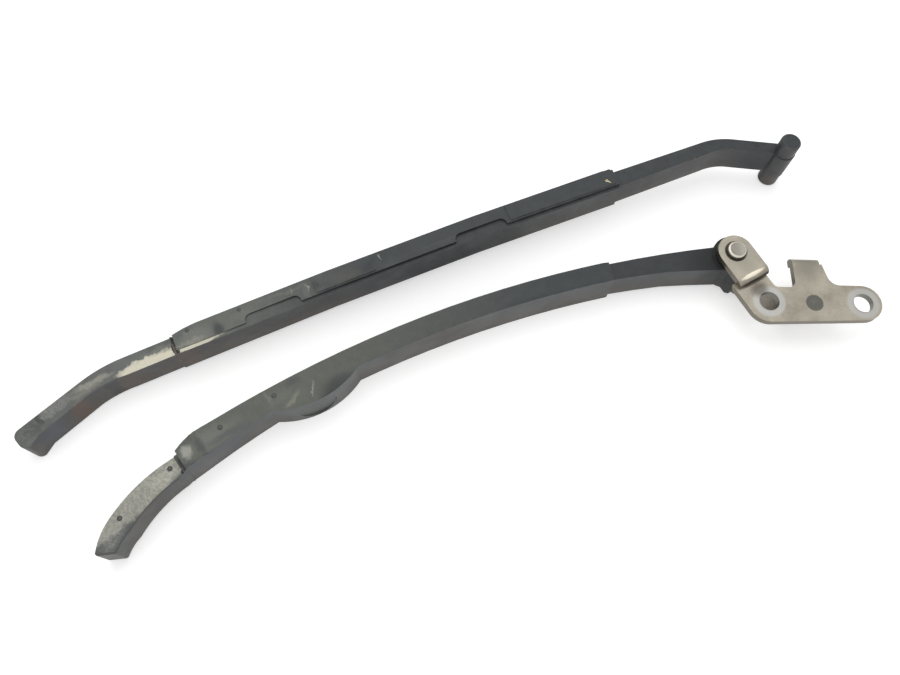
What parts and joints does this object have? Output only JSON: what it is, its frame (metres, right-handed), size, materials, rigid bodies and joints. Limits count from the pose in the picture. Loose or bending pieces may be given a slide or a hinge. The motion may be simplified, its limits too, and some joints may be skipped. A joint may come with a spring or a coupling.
{
  "type": "cam chain guide set",
  "caption": "Cam chain guide set: a long fixed guide with a cross pin and a curved tensioner blade hinged on a small bolt-on steel bracket.",
  "frame": {"origin": "midway between the two bolt holes, on the mounting face under the bracket plate", "axes": "+X from the bolt hole beside the ear towards the other bolt hole, +Z along the bolts and the pivot, +Y from the bracket towards the guide"},
  "size_m": [0.277, 0.1462, 0.0237],
  "materials": {
    "bracket_steel": "dull zinc-plated sheet steel, tumbled",
    "pin_steel": "turned steel",
    "arm_nylon": "moulded glass-filled nylon, oily",
    "shoe_nylon": "moulded nylon, worn satin"
  },
  "bodies": {
    "bracket": {"bracket_plate": "bracket_steel", "bracket_strap": "bracket_steel", "pivot_pin": "pin_steel", "guide_rail": "arm_nylon", "guide_shoe": "shoe_nylon"},
    "blade": {"eye_bush": "pin_steel", "blade_arm": "arm_nylon", "blade_shoe": "shoe_nylon"}
  },
  "joints": [
    {"name": "blade_pivot", "type": "hinge", "parent": "bracket", "child": "blade", "pos_m": [-0.02602, 0.01702, 0], "axis": [0, 0, 1], "range_deg": [-8, 8]}
  ]
}
